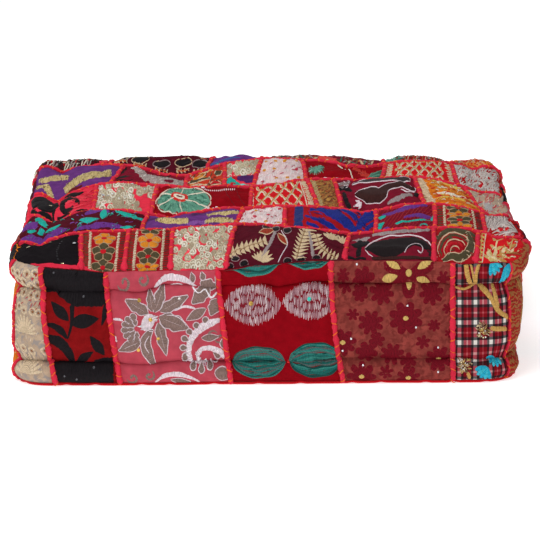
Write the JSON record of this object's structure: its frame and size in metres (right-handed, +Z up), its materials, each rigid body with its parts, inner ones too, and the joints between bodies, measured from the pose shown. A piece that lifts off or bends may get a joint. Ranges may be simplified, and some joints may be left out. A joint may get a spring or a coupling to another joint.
{
  "type": "square patchwork floor pouf",
  "caption": "Square filled floor pouf in embroidered patchwork, with rolled mattress edges, a tufted crown and coral cords couched over the seams.",
  "frame": {"origin": "middle of the flat bottom that rests on the floor, under the middle of the whole outline", "axes": "+Z up through the crown, -Y towards the front of the band as pictured, +X to the right seen from the front"},
  "size_m": [0.633, 0.6142, 0.1718],
  "materials": {
    "patchwork": "pieced cotton, velvet, sheer and brocade with embroidery, matt with shiny threads",
    "seam_cord": "matt twisted cotton cord with orange stitches",
    "foot_lip": "matt cotton"
  },
  "bodies": {
    "root": {"cushion": "patchwork", "bottom_lip": "foot_lip", "top_row_cord_1": "seam_cord", "top_row_cord_2": "seam_cord", "top_row_cord_3": "seam_cord", "top_row_cord_4": "seam_cord", "top_cross_cord_1": "seam_cord", "top_cross_cord_2": "seam_cord", "top_cross_cord_3": "seam_cord", "top_cross_cord_4": "seam_cord", "top_cross_cord_5": "seam_cord", "top_cross_cord_6": "seam_cord", "top_cross_cord_7": "seam_cord", "top_cross_cord_8": "seam_cord", "top_cross_cord_9": "seam_cord", "top_cross_cord_10": "seam_cord", "top_cross_cord_11": "seam_cord", "top_cross_cord_12": "seam_cord", "top_cross_cord_13": "seam_cord", "top_cross_cord_14": "seam_cord", "top_cross_cord_15": "seam_cord", "top_cross_cord_16": "seam_cord", "top_cross_cord_17": "seam_cord", "top_cross_cord_18": "seam_cord", "top_cross_cord_19": "seam_cord", "top_cross_cord_20": "seam_cord", "top_cross_cord_21": "seam_cord", "top_cross_cord_22": "seam_cord", "top_cross_cord_23": "seam_cord", "top_cross_cord_24": "seam_cord", "top_cross_cord_25": "seam_cord", "top_cross_cord_26": "seam_cord", "top_cross_cord_27": "seam_cord", "top_cross_cord_28": "seam_cord", "top_cross_cord_29": "seam_cord", "top_cross_cord_30": "seam_cord", "top_cross_cord_31": "seam_cord", "top_cross_cord_32": "seam_cord", "band_cord_front_1": "seam_cord", "band_cord_front_2": "seam_cord", "band_cord_front_3": "seam_cord", "band_cord_front_4": "seam_cord", "band_cord_front_5": "seam_cord", "band_cord_front_6": "seam_cord", "band_cord_right_1": "seam_cord", "band_cord_right_2": "seam_cord", "band_cord_right_3": "seam_cord", "band_cord_right_4": "seam_cord", "band_cord_right_5": "seam_cord", "band_cord_back_1": "seam_cord", "band_cord_back_2": "seam_cord", "band_cord_back_3": "seam_cord", "band_cord_back_4": "seam_cord", "band_cord_left_1": "seam_cord", "band_cord_left_2": "seam_cord", "band_cord_left_3": "seam_cord", "band_cord_left_4": "seam_cord", "band_cord_left_5": "seam_cord"}
  },
  "joints": []
}
